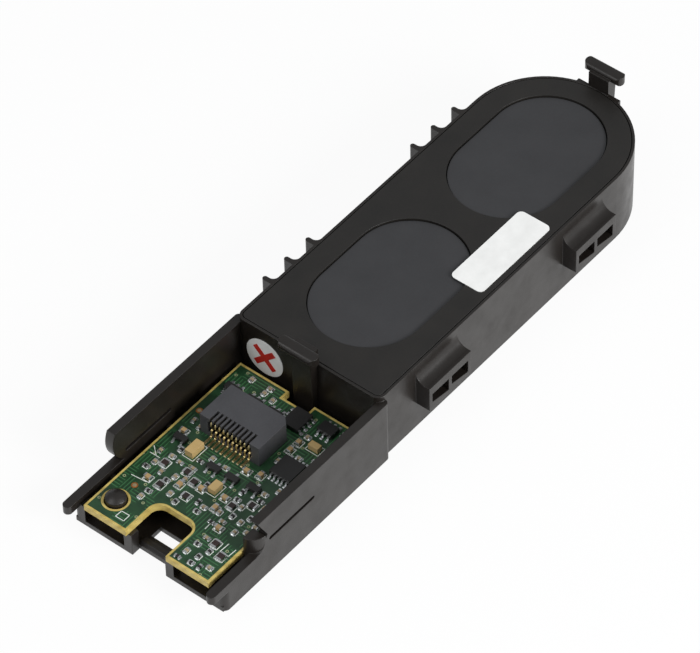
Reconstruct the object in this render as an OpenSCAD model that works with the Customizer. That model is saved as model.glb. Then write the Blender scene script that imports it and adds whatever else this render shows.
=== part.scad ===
// Battery module of a storage controller.
// A moulded case holds two stacks of oval button cells under a lid with two
// windows. The open tray in front of it carries a circuit board with a cable
// socket. Sizes are in mm. X runs from the tray to the round end, Y across the
// case and Z up. The origin lies in the middle of the flat base.

/* [Cells] */
// Length of one oval cell
cell_len = 34.1; // [30:0.1:40]
// Width of one oval cell
cell_w = 24.1; // [20:0.1:28]
// Height of one cell with its cap
cell_h = 7; // [6:0.1:9]
// Height of the raised cap of a cell
cap_h = 0.3; // [0.2:0.05:0.6]
// Width of the crimped shoulder round the cap
cap_step = 1.2; // [0.6:0.1:3]
// Free length between the two stacks
stack_gap = 10.05; // [7:0.05:16]
// Thickness of the nickel strips
strip_t = 0.2; // [0.1:0.05:0.4]
// Width of the two output strips
strip_w = 3; // [2:0.1:3.2]
// Width of the strips that link the cells
link_w = 5; // [3:0.5:8]
// Play between a cell and what locates it
cell_play = 0.3; // [0.1:0.05:0.5]

/* [Battery housing] */
// Thickness of the housing walls
wall_t = 1.9; // [1.4:0.1:2.6]
// Thickness of the floor of housing and tray
floor_t = 1.2; // [0.8:0.1:2]
// From the front face to the front stack
front_gap = 8.5; // [7:0.1:12]
// From the rear stack to the end of the housing
rear_gap = 7.15; // [5:0.05:12]
// From a stack to the outside of the side walls
side_gap = 5.95; // [5:0.05:9]
// Radius of the two upright corners at the front face
corner_r = 1.9; // [1.2:0.1:3]
// Width of the flat on the round end behind the rear tab
flat_w = 10.6; // [8:0.2:14]
// Thickness of the ribs that locate the cells
rib_t = 1.2; // [0.8:0.1:2]

/* [Lid] */
// Thickness of the lid plate
lid_t = 1.3; // [0.9:0.1:2]
// Width of the rim that stays round the lid
rim_w = 0.55; // [0.4:0.05:0.9]
// Seam between the rim and the lid
lid_gap = 0.2; // [0.1:0.05:0.3]
// Play of the windows beside the cells
window_side = 0.25; // [0:0.05:1]
// Play of the windows beyond the ends of the cells
window_end = 1.65; // [0.5:0.05:2.5]
// Depth of the pads below the top of the lid
pad_drop = 0.45; // [0.2:0.05:0.9]
// Thickness of the insulating pads
pad_t = 1.05; // [0.8:0.05:1.5]
// Seam between a pad and its window
pad_gap = 0.2; // [0.1:0.05:0.3]
// Thickness of the insulating sheet on the floor
sheet_t = 0.1; // [0.05:0.05:0.3]

/* [Tray] */
// Length of the tray in front of the housing
tray_len = 48; // [46:0.5:60]
// Radius of the upright corners at the front of the tray
front_r = 1.4; // [0.6:0.1:1.6]
// How far the tray stands out beside the housing
tray_step = 1; // [0.5:0.1:2]
// Thickness of the tray walls
tray_wall = 2; // [1.4:0.1:2.4]
// Drop of the tray walls below the top of the lid
tray_drop = 1.3; // [0:0.1:4]
// Height of the low side rails
rail_h = 7.3; // [7:0.1:8]
// Height of the rail tips that reach forward
tip_h = 2; // [1:0.1:3]
// Reach of the rail tips before the tray
tip_reach = 3.5; // [1:0.5:6]
// From the front of the tray to the ends of the high arms
arm_back = 10.4; // [9:0.1:14]
// Length of the slit under each arm
slit_len = 13.5; // [6:0.5:18]
// Height of the slits above the base
slit_z = 9.35; // [8.6:0.05:10.5]
// Width of the slits
slit_w = 0.9; // [0.5:0.1:1.2]
// From the end of an arm to its slit
slit_back = 3; // [2:0.1:6]
// Radius of the bulging end of the left arm
arm_nose_r = 7; // [6:0.5:12]
// Slant of the end of the right arm
arm_slant = 2.6; // [0:0.1:4]
// Radius of the concave step down to the right rail
step_r = 2.6; // [1:0.1:3]
// Radius of the rounded post beside the right arm
nose_r = 3; // [2.2:0.1:3.2]
// Width of the bridge between the two front openings
bridge_w = 8.4; // [6:0.2:9]
// How far the bridge lies behind the front of the tray
bridge_back = 2.1; // [1:0.1:3]
// Height of the lip on the bridge
bridge_lip = 0.6; // [0.3:0.1:1.2]
// Length of the hole in the floor behind the bridge
hole_len = 2.8; // [2:0.1:4]
// Width of the pillars under the front of the board
pillar_w = 2; // [1.2:0.1:2.6]

/* [Lugs and fins] */
// Length of one side lug
lug_len = 13; // [10:0.5:16]
// How far the lugs stand out
lug_out = 3.4; // [2:0.1:5]
// Height of the underside of the lugs
lug_z = 6.9; // [3:0.1:8]
// Height of a lug
lug_h = 6.15; // [5:0.05:7]
// Height of the solid rail on top of a lug
lug_rail = 2.05; // [1:0.05:2.6]
// Thickness of the webs round the lug pockets
lug_web = 0.9; // [0.6:0.1:1.4]
// Depth of the lug pockets
pocket_d = 2.7; // [1:0.1:2.9]
// Radius of the concave fillet above a lug
lug_fillet = 2.5; // [1:0.1:3]
// From the front face to the first lug
lug_front = 11.2; // [4:0.1:16]
// From the end of the straight side to the second lug
lug_rear = 4.8; // [1:0.1:10]
// How far the fins stand out
fin_out = 2.45; // [1.5:0.05:4]
// Thickness of a fin at its tip
fin_t = 1.1; // [0.8:0.1:1.6]
// Spacing of the fins
fin_pitch = 6.67; // [5:0.01:8]
// Radius of the concave sweep behind each fin
fin_sweep = 1.3; // [0.8:0.1:1.5]

/* [Tabs] */
// Width of the stem of a tab
stem_w = 5; // [3:0.5:7]
// Thickness of the stem
stem_t = 1.4; // [1:0.1:2]
// Extra thickness where the stem meets its bar
stem_flare = 0.8; // [0.2:0.1:1.2]
// Rise of the tabs above the lid
tab_rise = 4.9; // [3:0.1:8]
// Width of the cross bar of a tab
bar_w = 9.4; // [8:0.2:12]
// Depth of the cross bar
bar_d = 2.9; // [2.5:0.1:4]
// Height of the cross bar
bar_h = 2; // [1.5:0.1:2.5]

/* [Circuit board] */
// Height of the underside of the board
board_z = 5.5; // [5.2:0.1:5.8]
// Thickness of the board
board_t = 1.5; // [0.8:0.1:1.6]
// Play between the board and the tray walls
board_side = 1.4; // [0.8:0.1:2]
// Gap between the board and the housing
board_rear = 1.9; // [1:0.1:3]
// How far the board reaches past the tray
board_over = 0.6; // [0:0.1:1.5]
// Width of the front notch
notch_w = 10; // [9:0.2:12]
// Depth of the front notch
notch_d = 9.5; // [6:0.5:10]
// Radius of the inner corners of the front notch
notch_r = 2.4; // [1:0.1:3]
// Width of the rear notch round the stem of the tab
rear_notch_w = 6.4; // [5.6:0.2:8]
// Depth of the rear notch
rear_notch_d = 2; // [1:0.1:3]
// Diameter of the locating post
post_d = 4.3; // [3:0.1:5]
// Play round the locating post
post_play = 0.25; // [0.1:0.05:0.5]
// Height of the post above the board
post_rise = 1.8; // [1.2:0.1:3]
// Height of the domed end of the post
post_dome = 0.9; // [0.5:0.1:1.2]

/* [Cable socket] */
// Number of contacts in a row
contact_n = 10; // [6:1:10]
// Spacing of the contacts
contact_pitch = 1.05; // [0.9:0.05:1.15]
// Width of one contact
contact_w = 0.4; // [0.2:0.05:0.5]
// Thickness of the contact strip
contact_t = 0.2; // [0.1:0.05:0.3]
// Length of the socket body along the case
socket_len = 9.6; // [8:0.1:12]
// Height of the socket body
socket_h = 5.1; // [4.5:0.1:6]
// Width of the solid left cheek of the socket
cheek_left = 2; // [1:0.1:3]
// Width of the solid right cheek of the socket
cheek_right = 2; // [1:0.1:3]
// Length of the slots in the roof of the socket
roof_slot = 2.65; // [1.5:0.05:3]
// Width of the slots in the roof
roof_slot_w = 0.65; // [0.55:0.05:0.8]
// Thickness of the roof of the socket
roof_t = 1; // [0.6:0.1:1.4]
// Thickness of the sill of the socket
sill_t = 1.1; // [0.8:0.1:1.5]
// Depth of the mouth of the socket
mouth_d = 6.5; // [4:0.1:7]
// From the board's rear edge to the back of the socket
socket_back = 8.85; // [8.8:0.05:12]
// From the middle of the case to the right side of the socket
socket_right = 4.6; // [3:0.1:6]
// Chamfer at the rear right corner of the socket
socket_cut = 1.3; // [0.5:0.1:2]

/* [Labels] */
// Length of the blank label
label_len = 22.7; // [16:0.1:30]
// Width of the blank label
label_w = 7.9; // [5:0.1:10]
// Radius of the corners of the label
label_r = 1.2; // [0.5:0.1:2]
// Thickness of the labels
label_t = 0.1; // [0.05:0.05:0.2]
// From the front face to the label
label_x = 34.2; // [30:0.1:40]
// From the right side of the housing to the label
label_edge = 1.9; // [1:0.1:3]
// Radius of the round sticker
sticker_r = 4.6; // [3:0.1:4.8]
// Width of the strokes of its cross
cross_w = 1.3; // [0.6:0.1:2]

/* [Hidden] */
$fn = 48;

// Levels from the floor up
sheet_z = floor_t;
link_z = sheet_z + sheet_t;
low_z = link_z + strip_t;
mid_z = low_z + cell_h;
high_z = mid_z + strip_t;
top_z = high_z + cell_h;
pad_z = top_z + strip_t;
case_h = pad_z + pad_t + pad_drop;
seat_z = case_h - lid_t;
tray_h = case_h - tray_drop;

// Plan of the housing
case_w = cell_w + 2 * side_gap;
case_len = front_gap + 2 * cell_len + stack_gap + rear_gap;
side_end = case_len - case_w / 2;
front_x = front_gap + cell_len / 2;
rear_x = front_x + cell_len + stack_gap;
window_len = cell_len + 2 * window_end;
window_w = cell_w + 2 * window_side;
strip_y = case_w / 2 - wall_t - 0.5 - strip_w / 2;
strip_low = floor_t + 1.2;

// Plan of the tray
tray_w = case_w + 2 * tray_step;
tray_in = tray_w - 2 * tray_wall;
arm_x = arm_back - tray_len;
base_mid = (case_len - tray_len) / 2;
tab_z = case_h + tab_rise;

// Places on the board, counted from its rear edge towards the front
board_w = tray_in - 2 * board_side;
board_x = -board_rear;
board_front = -tray_len - board_over;
board_top = board_z + board_t;
post_x = board_front + 4.8;
post_y = board_w / 2 - 4;

// Socket
socket_x = board_x - socket_back - socket_len;
row_w = (contact_n - 1) * contact_pitch;
row_y = cheek_right + 0.7 - socket_right;
socket_w = cheek_right + cheek_left + row_w + 1.4;

// Moves the case frame so that the middle of the base is the origin.
module place() {
  translate([-base_mid, 0, 0])
    children();
}

// Outline of the housing between x0 and x1, with a round end of its own width.
module d_plan(x0, x1, w, r) {
  translate([x1 - w / 2, 0])
    circle(d = w);
  translate([x0 + r, -w / 2])
    square([x1 - w / 2 - x0 - r, w]);
  translate([x0, r - w / 2])
    square([2 * r, w - 2 * r]);
  for (s = [-1, 1])
    translate([x0 + r, s * (w / 2 - r)])
      circle(r = r);
}

// Oval of a cell, a pad or a window.
module oval(len, w) {
  square([len - w, w], center = true);
  for (s = [-1, 1])
    translate([s * (len - w) / 2, 0])
      circle(d = w);
}

// Rectangle with round corners.
module round_rect(len, w, r) {
  square([len - 2 * r, w], center = true);
  square([len, w - 2 * r], center = true);
  for (sx = [-1, 1])
    for (sy = [-1, 1])
      translate([sx * (len / 2 - r), sy * (w / 2 - r)])
        circle(r = r);
}

// Stands a side profile, drawn as length against height, between y0 and y1.
module side_extrude(y0, y1) {
  translate([0, y1, 0])
    rotate([90, 0, 0])
      linear_extrude(y1 - y0)
        children();
}

// ---- Lower case ----

module housing() {
  difference() {
    linear_extrude(case_h) {
      d_plan(0, case_len, case_w, corner_r);
      translate([case_len - case_w / 4, -flat_w / 2])
        square([case_w / 4, flat_w]);
    }
    translate([0, 0, floor_t])
      linear_extrude(case_h)
        d_plan(wall_t, case_len - wall_t, case_w - 2 * wall_t, 0.6);
    translate([0, 0, seat_z])
      linear_extrude(case_h)
        d_plan(rim_w, case_len - rim_w, case_w - 2 * rim_w,
          corner_r - rim_w);
    strip_slots();
  }
  cell_ribs();
}

// Slots through the front wall for the two output strips.
module strip_slots() {
  for (side = [0, 1])
    mirror([0, side, 0])
      translate([-1, strip_y - strip_w / 2 - cell_play, strip_low - cell_play])
        cube([wall_t + 2, strip_w + 2 * cell_play, strip_t + 2 * cell_play]);
}

// Ribs between the walls and the cells of both stacks.
module cell_ribs() {
  reach = side_gap - wall_t - cell_play;
  for (side = [0, 1])
    mirror([0, side, 0]) {
      for (x = [front_x, rear_x])
        for (dx = [-4, 4])
          translate([x + dx - rib_t / 2, cell_w / 2 + cell_play, 0])
            cube([rib_t, reach + 0.1, top_z]);
      translate([front_x + cell_len / 2 + stack_gap / 2 - rib_t / 2, case_w / 4, 0])
        cube([rib_t, case_w / 4 - wall_t + 0.1, top_z]);
    }
  translate([wall_t - 0.1, -rib_t / 2, 0])
    cube([front_gap - wall_t - cell_play + 0.1, rib_t, top_z]);
  translate([case_len - rear_gap + cell_play, -rib_t / 2, 0])
    cube([rear_gap - wall_t - cell_play + 0.1, rib_t, top_z]);
}

// Left side wall below the rail tips, with a round front corner.
module low_wall_plan() {
  y = tray_w / 2 - tray_wall;
  translate([front_r - tray_len, y])
    square([tray_len - front_r, tray_wall]);
  translate([-tray_len, y - 0.1])
    square([2 * front_r, tray_wall - front_r + 0.1]);
  translate([front_r - tray_len, tray_w / 2 - front_r])
    circle(r = front_r);
  wall_end();
}

// Left side wall with its rail tip.
module wall_plan() {
  y = tray_w / 2 - tray_wall;
  r = tray_wall / 2;
  translate([r - tray_len - tip_reach, y])
    square([tray_len + tip_reach - r, tray_wall]);
  translate([r - tray_len - tip_reach, y + r])
    circle(r = r);
  wall_end();
}

// Round end of a side wall where it runs into the housing.
module wall_end() {
  translate([-0.5, tray_w / 2 - tray_wall])
    square([corner_r + 0.5, tray_wall - tray_step]);
  translate([-0.5, tray_w / 2 - tray_wall])
    square([corner_r + 0.5 - tray_step, tray_wall]);
  translate([corner_r - tray_step, tray_w / 2 - tray_step])
    circle(r = tray_step);
}

// A side wall from its plans and the profile drawn as children.
module side_wall() {
  tip_z = rail_h - tip_h;
  linear_extrude(tip_z)
    low_wall_plan();
  intersection() {
    translate([0, 0, tip_z - 0.1])
      linear_extrude(tray_h - tip_z + 0.1)
        wall_plan();
    side_extrude(0, tray_w)
      children();
  }
}

// Slit that frees an arm from the wall below it.
module slit() {
  translate([arm_x + slit_back + slit_w / 2, slit_z - slit_w / 2])
    square([slit_len - slit_w, slit_w]);
  for (x = [slit_w / 2, slit_len - slit_w / 2])
    translate([arm_x + slit_back + x, slit_z])
      circle(d = slit_w);
}

// Low rail with its tip.
module rail_profile() {
  translate([-tray_len, 0])
    square([tray_len + corner_r + 1, rail_h]);
  translate([-tray_len - tip_reach, rail_h - tip_h])
    square([tip_reach + 1, tip_h]);
}

// Left wall: the arm ends in a bulging nose over a small hollow.
module left_profile() {
  rail_profile();
  difference() {
    union() {
      translate([arm_x + arm_nose_r - 0.35, rail_h - 1])
        square([corner_r - arm_x - arm_nose_r + 1.35, tray_h - rail_h + 1]);
      intersection() {
        translate([arm_x + arm_nose_r - 0.35, tray_h - 3.1])
          circle(r = arm_nose_r);
        translate([arm_x - 2, rail_h - 1])
          square([arm_nose_r + 2, tray_h - rail_h + 1]);
      }
    }
    slit();
  }
}

// Right wall: the arm ends in a slant over a concave step.
module right_profile() {
  rail_profile();
  difference() {
    polygon([
      [corner_r + 1, rail_h - 1],
      [corner_r + 1, tray_h],
      [arm_x, tray_h],
      [arm_x + arm_slant, tray_h - 4.9],
      [arm_x + arm_slant - 0.8, rail_h + step_r],
      [arm_x + arm_slant - 0.8, rail_h - 1]
    ]);
    slit();
  }
  difference() {
    translate([arm_x + arm_slant - 0.8 - step_r, rail_h - 0.5])
      square([step_r + 0.1, step_r + 0.5]);
    translate([arm_x + arm_slant - 0.8 - step_r, rail_h + step_r])
      circle(r = step_r);
  }
}

// Round post under the end of the right arm.
module arm_post() {
  x = arm_x + arm_slant - 0.6;
  translate([0, 0, floor_t])
    linear_extrude(tray_h - 4.9 - floor_t)
      intersection() {
        translate([x, nose_r - tray_w / 2])
          circle(r = nose_r);
        translate([x - nose_r, -tray_w / 2 - 0.1])
          square([nose_r, (tray_w - board_w) / 2 - 0.2]);
      }
}

module tray() {
  difference() {
    linear_extrude(floor_t)
      difference() {
        translate([-tray_len, -tray_w / 2 + 0.5])
          square([tray_len + 1, tray_w - 1]);
        translate([-tray_len - 1, -bridge_w / 2])
          square([bridge_back + 1, bridge_w]);
      }
    translate([bridge_back + 3 - tray_len, 0.4 - bridge_w / 2, -1])
      cube([hole_len, bridge_w - 0.8, floor_t + 2]);
  }
  bridge_lip_bar();
  side_wall()
    left_profile();
  mirror([0, 1, 0])
    side_wall()
      right_profile();
  arm_post();
  pillars();
  board_ribs();
  post();
}

// Lip on the bridge between the two front openings, with a slanted front.
module bridge_lip_bar() {
  side_extrude(-bridge_w / 2, bridge_w / 2)
    polygon([
      [bridge_back - tray_len, floor_t - 0.2],
      [bridge_back - tray_len + bridge_lip, floor_t + bridge_lip],
      [bridge_back - tray_len + 2, floor_t + bridge_lip],
      [bridge_back - tray_len + 2, floor_t - 0.2]
    ]);
}

// Pillars that carry the front edge of the board.
module pillars() {
  for (s = [-1, 1]) {
    translate([-tray_len, s * (bridge_w / 2 + pillar_w / 2) - pillar_w / 2, 0])
      cube([pillar_w, pillar_w, board_z]);
    translate([-tray_len, s * (tray_in / 2 - 0.4) - 0.5, 0])
      cube([pillar_w, 1, board_z]);
  }
}

// Upright ribs along the tray walls that carry the board.
module board_ribs() {
  for (side = [0, 1])
    mirror([0, side, 0])
      for (i = [0:2])
        translate([-5 - rib_t - i * (tray_len - 15) / 2, board_w / 2 - 1, 0])
          cube([rib_t, board_side + 1.1, board_z]);
}

// Post with a domed end that locates the board.
module post() {
  r = (post_d * post_d / 4 + post_dome * post_dome) / (2 * post_dome);
  translate([post_x, post_y, 0]) {
    cylinder(d = post_d, h = board_top + post_rise - post_dome);
    intersection() {
      translate([0, 0, board_top + post_rise - r])
        sphere(r = r);
      translate([0, 0, board_top])
        cylinder(d = post_d, h = post_rise + 1);
    }
  }
}

// One lug with two pockets and a concave fillet up to the wall.
module lug() {
  pocket = (lug_len - 3 * lug_web) / 2;
  difference() {
    translate([0, -lug_out, lug_z])
      cube([lug_len, lug_out + 0.5, lug_h]);
    for (i = [0, 1])
      side_extrude(-lug_out - 1, pocket_d - lug_out)
        polygon([
          [lug_web + i * (pocket + lug_web), lug_z + 2 * lug_web],
          [lug_web + i * (pocket + lug_web), lug_z + lug_h - lug_rail],
          [(i + 1) * (pocket + lug_web), lug_z + lug_h - lug_rail],
          [(i + 1) * (pocket + lug_web), lug_z + lug_web]
        ]);
  }
  difference() {
    translate([0, -lug_fillet, lug_z + lug_h - 0.5])
      cube([lug_len, lug_fillet + 0.5, lug_fillet + 0.5]);
    translate([-1, -lug_fillet, lug_z + lug_h + lug_fillet])
      rotate([0, 90, 0])
        cylinder(r = lug_fillet, h = lug_len + 2);
  }
}

// Plan of one fin: a flat front face, a round tip and a concave sweep behind.
module fin_plan() {
  translate([0, -0.5])
    square([fin_t, fin_out + 0.5 - fin_t / 2]);
  translate([fin_t / 2, fin_out - fin_t / 2])
    circle(d = fin_t);
  difference() {
    translate([fin_t - 0.1, -0.5])
      square([fin_sweep + 0.1, fin_sweep + 0.5]);
    translate([fin_t + fin_sweep, fin_sweep])
      circle(r = fin_sweep);
  }
}

// Tab seen from the side: a stem that widens into a rounded cross bar.
module tab(z0) {
  side_extrude(-stem_w / 2, stem_w / 2)
    difference() {
      translate([-0.5, z0])
        square([stem_t + stem_flare + 0.5, tab_z - bar_h / 2 - z0]);
      translate([stem_t + tab_z * tab_z / (2 * stem_flare), 0])
        circle(r = tab_z * tab_z / (2 * stem_flare), $fn = 360);
    }
}

module tab_bar() {
  intersection() {
    side_extrude(-bar_w / 2, bar_w / 2)
      translate([bar_d / 2, tab_z - bar_h / 2])
        round_rect(bar_d, bar_h, bar_h / 2 - 0.2);
    translate([bar_d / 2, 0, tab_z - bar_h])
      linear_extrude(bar_h)
        rotate(90)
          oval(bar_w, bar_d);
  }
}

module lower_case()
  color("#23201f")
    place() {
      housing();
      tray();
      for (x = [lug_front, side_end - lug_rear - lug_len])
        translate([x, -case_w / 2, 0])
          lug();
      for (x = [lug_front, side_end - lug_rear - 2 * fin_pitch])
        for (i = [0:2])
          translate([x - 0.45 + i * fin_pitch, case_w / 2, 0])
            linear_extrude(case_h)
              fin_plan();
      translate([case_len, 0, 0]) {
        tab(floor_t);
        translate([0.2, 0, 0])
          tab_bar();
      }
      mirror([1, 0, 0]) {
        tab(floor_t);
        translate([0.9, 0, 0])
          tab_bar();
      }
    }

// ---- Lid and pads ----

module lid() {
  inset = rim_w + lid_gap;
  color("#2b2624")
    place()
      translate([0, 0, seat_z])
        linear_extrude(lid_t)
          difference() {
            d_plan(inset, case_len - inset, case_w - 2 * inset,
              corner_r - inset);
            for (x = [front_x, rear_x])
              translate([x, 0])
                oval(window_len, window_w);
          }
}

module pad(x) {
  color("#47474a")
    place()
      translate([x, 0, pad_z])
        linear_extrude(pad_t)
          oval(window_len - 2 * pad_gap, window_w - 2 * pad_gap);
}

module pad_front()
  pad(front_x);

module pad_rear()
  pad(rear_x);

// ---- Labels ----

module label() {
  color("#f2f2f0")
    place()
      translate([label_x + label_len / 2, label_edge + label_w / 2 - case_w / 2, case_h])
        linear_extrude(label_t)
          round_rect(label_len, label_w, label_r);
}

// Turns a drawing to lie on the front face, over the left side of the tray.
module on_front(lift) {
  translate([-lift, case_w / 2 - 7.2, board_top + 3.1])
    rotate([0, -90, 0])
      linear_extrude(label_t)
        children();
}

module sticker() {
  color("#f4f4f2")
    place()
      on_front(0)
        circle(r = sticker_r);
}

module sticker_cross() {
  color("#c8232c")
    place()
      on_front(label_t)
        for (a = [-45, 45])
          rotate(a)
            square([cross_w, 1.45 * sticker_r], center = true);
}

// ---- Cells and their strips ----

module cell(x, z) {
  color("#c3c6c9")
    place()
      translate([x, 0, z]) {
        linear_extrude(cell_h - cap_h)
          oval(cell_len, cell_w);
        translate([0, 0, cell_h - cap_h - 0.1])
          linear_extrude(cap_h + 0.1)
            oval(cell_len - 2 * cap_step, cell_w - 2 * cap_step);
      }
}

module cell_front_lower()
  cell(front_x, low_z);

module cell_front_upper()
  cell(front_x, high_z);

module cell_rear_lower()
  cell(rear_x, low_z);

module cell_rear_upper()
  cell(rear_x, high_z);

module link(x) {
  color("#b9bbbb")
    place()
      translate([x, 0, mid_z])
        linear_extrude(strip_t)
          round_rect(cell_len / 2, link_w, link_w / 4);
}

module front_link()
  link(front_x);

module rear_link()
  link(rear_x);

module series_link() {
  color("#b9bbbb")
    place()
      translate([(front_x + rear_x) / 2, 0, link_z])
        linear_extrude(strip_t)
          round_rect(rear_x - front_x + cell_len / 2, link_w, link_w / 4);
}

// Strip from the top of a stack over the ribs, down inside the front wall
// and out to the underside of the board.
module output_strip(side, x) {
  down = wall_t + 1;
  out = board_rear + 2;
  color("#b9bbbb")
    place()
      mirror([0, side, 0])
        translate([0, strip_y - strip_w / 2, 0]) {
          translate([x - strip_w / 2, -strip_y, top_z])
            cube([strip_w, strip_y + 0.1, strip_t]);
          translate([down, 0, top_z])
            cube([x + strip_w / 2 - down, strip_w, strip_t]);
          translate([down, 0, strip_low])
            cube([strip_t, strip_w, top_z + strip_t - strip_low]);
          translate([-out, 0, strip_low])
            cube([down + strip_t + out, strip_w, strip_t]);
          translate([-out, 0, strip_low])
            cube([strip_t, strip_w, board_z - strip_low]);
        }
}

module positive_strip()
  output_strip(0, front_x);

module negative_strip()
  output_strip(1, rear_x);

module insulating_sheet() {
  color("#d9d3bd")
    place()
      translate([0, 0, sheet_z])
        linear_extrude(sheet_t)
          for (x = [front_x, rear_x])
            translate([x, 0])
              oval(cell_len, cell_w);
}

// Bead that feels the warmth of the rear stack, on its two flat leads.
module thermal_sensor() {
  color("#2f4a36")
    place()
      translate([rear_x - cell_len / 2 - 1.6, 0, low_z + cell_h / 2])
        sphere(d = 2.6);
}

// ---- Circuit board ----

module circuit_board() {
  color("#2f6b3c")
    place()
      translate([0, 0, board_z])
        linear_extrude(board_t)
          difference() {
            translate([board_front, -board_w / 2])
              square([board_x - board_front, board_w]);
            translate([board_front - 1, -notch_w / 2])
              square([notch_d + 1 - notch_r, notch_w]);
            translate([board_front - 1, notch_r - notch_w / 2])
              square([notch_d + 1, notch_w - 2 * notch_r]);
            for (s = [-1, 1])
              translate([board_front + notch_d - notch_r, s * (notch_w / 2 - notch_r)])
                circle(r = notch_r);
            translate([board_x - rear_notch_d, -rear_notch_w / 2])
              square([rear_notch_d + 1, rear_notch_w]);
            translate([post_x, post_y])
              circle(d = post_d + 2 * post_play);
          }
}

// Puts a part on the board: dx from its rear edge, y across.
module on_board(dx, y, turn = 0) {
  place()
    translate([board_x - dx, y, board_top])
      rotate([0, 0, turn])
        children();
}

module test_pads()
  color("#b8703a")
    for (p = [[14.6, 13.8], [36.9, 11.2]])
      on_board(p[0], p[1])
        cylinder(d = 1.4, h = 0.05);

// ---- Cable socket ----

module socket_body() {
  mouth_w = row_w + 1.4;
  color("#3f444c")
    place()
      difference() {
        translate([socket_x, -socket_right, board_top])
          linear_extrude(socket_h)
            polygon([
              [0, 0],
              [socket_len - socket_cut, 0],
              [socket_len, socket_cut],
              [socket_len, socket_w],
              [0, socket_w]
            ]);
        translate([socket_x - 1, row_y - 0.7, board_top + sill_t])
          cube([mouth_d + 1, mouth_w, socket_h - sill_t - roof_t]);
        for (i = [0:contact_n - 1])
          translate([socket_x - 1, row_y + i * contact_pitch - roof_slot_w / 2, board_top + socket_h - roof_t - 0.5])
            cube([roof_slot + 1, roof_slot_w, roof_t + 1.5]);
        for (i = [0:contact_n - 1])
          translate([socket_x - 1, row_y + i * contact_pitch - roof_slot_w / 2, board_top - 0.5])
            cube([mouth_d, roof_slot_w, sill_t + 1]);
      }
}

// Quarter of a ring of strip metal, opening towards +X and +Z.
module bend(r) {
  intersection() {
    difference() {
      circle(r = r + contact_t / 2);
      circle(r = r - contact_t / 2);
    }
    square(r + contact_t);
  }
}

// Sprung contact that curls down from the roof of the mouth.
module upper_contact_profile() {
  t = contact_t;
  z = socket_h - roof_t - 0.1;
  translate([0.9, z - t])
    square([mouth_d - 0.9, t]);
  translate([0.9, z - t / 2 - 0.7])
    mirror([1, 0])
      bend(0.7);
  translate([0.2 - t / 2, z - t / 2 - 1])
    square([t, 0.3]);
}

module socket_upper_contacts()
  color("#d8c9a0")
    place()
      for (i = [0:contact_n - 1])
        translate([socket_x, row_y + i * contact_pitch, board_top])
          side_extrude(-contact_w / 2, contact_w / 2)
            upper_contact_profile();

// Lower contact: a tail on the board, a bend and a blade in the mouth.
module lower_contact_profile() {
  t = contact_t;
  translate([-2.2, 0])
    square([1.9, t]);
  translate([-0.3, 0.5 + t / 2])
    mirror([0, 1])
      bend(0.5);
  translate([0.2 - t / 2, 0.5 + t / 2])
    square([t, sill_t - 0.4]);
  translate([0.7, sill_t + 0.1 + t / 2])
    mirror([1, 0])
      bend(0.5);
  translate([0.7, sill_t + 0.6])
    square([mouth_d - 0.7, t]);
}

module socket_lower_contacts()
  color("#c2a268")
    place()
      for (i = [0:contact_n - 1])
        translate([socket_x, row_y + i * contact_pitch, board_top])
          side_extrude(-contact_w / 2, contact_w / 2)
            lower_contact_profile();

// ---- Parts on the board ----

// Body of a moulded chip with a slanted edge all round its middle.
module chip_body(len, w, h) {
  translate([-len / 2, -w / 2, 0.1])
    cube([len, w, h - 0.1]);
}

// Row of n bent leads that leave a body edge towards -X.
module lead_row(n, pitch, lead_w, rise) {
  for (i = [0:n - 1])
    translate([0, (i - (n - 1) / 2) * pitch, 0])
      side_extrude(-lead_w / 2, lead_w / 2)
        polygon([
          [-1, 0],
          [-0.35, 0],
          [-0.25, rise - 0.15],
          [0, rise - 0.15],
          [0, rise],
          [-0.4, rise],
          [-0.5, 0.15],
          [-1, 0.15]
        ]);
}

// Main chip: middle, length, width, height and leads on each end.
MAIN_CHIP = [16.1, -9.8, 5.2, 5, 1.2];
// Small chips: place, turn, body size, leads on a side and spacing
SMALL_CHIPS = [
  [5.1, -3, 90, 3.9, 5, 1.2, 4, 1.27],
  [3.4, -9.4, 0, 2.6, 3.6, 1.2, 3, 1.27],
  [6.5, 12.1, 0, 1.6, 3.4, 1, 3, 1.27],
  [6.5, 6.8, 0, 1.6, 3.4, 1, 3, 1.27],
  [6.5, 1.7, 0, 1.6, 3.4, 1, 3, 1.27]
];
// Transistors: place and turn
TRANSISTORS = [
  [22.5, 11.8, 0],
  [24.4, 1.8, 0],
  [24.3, -2.7, 0],
  [23.7, -7.6, 0]
];
// Tantalum capacitors: place, length, width and height
TANTALUMS = [
  [23.2, 7.7, 3.6, 1.9, 1.6],
  [28.1, -1.7, 2.6, 1.7, 1.3],
  [8.4, -10.2, 1.4, 2.4, 1.3]
];
// Chip resistors and capacitors: place and turn
RESISTORS = [
  [29.1, 10.2, 0],
  [33.9, 7.4, 0],
  [28.2, 5.2, 90],
  [29.4, 2.6, 0],
  [33, 1.5, 90],
  [29.5, -7, 0],
  [27, -10, 90],
  [38.6, -10.6, 0],
  [40.4, -13.4, 0]
];
CAPACITORS = [
  [33.9, 10.3, 90],
  [31.6, 4.4, 0],
  [29.8, 0.4, 90],
  [31.9, -4.8, 0],
  [28.8, -4.7, 90],
  [21, -3.6, 90],
  [20.2, -6.4, 0],
  [11.7, -6.7, 0],
  [9.2, -6.8, 0],
  [26.4, -12.6, 0],
  [35.3, -8.6, 90],
  [20.6, 12.6, 90]
];
// Chip resistor and capacitor: length, width, height and end width
RES_SIZE = [2, 1.2, 0.5, 0.4];
CAP_SIZE = [1.7, 0.9, 0.8, 0.35];

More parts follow.
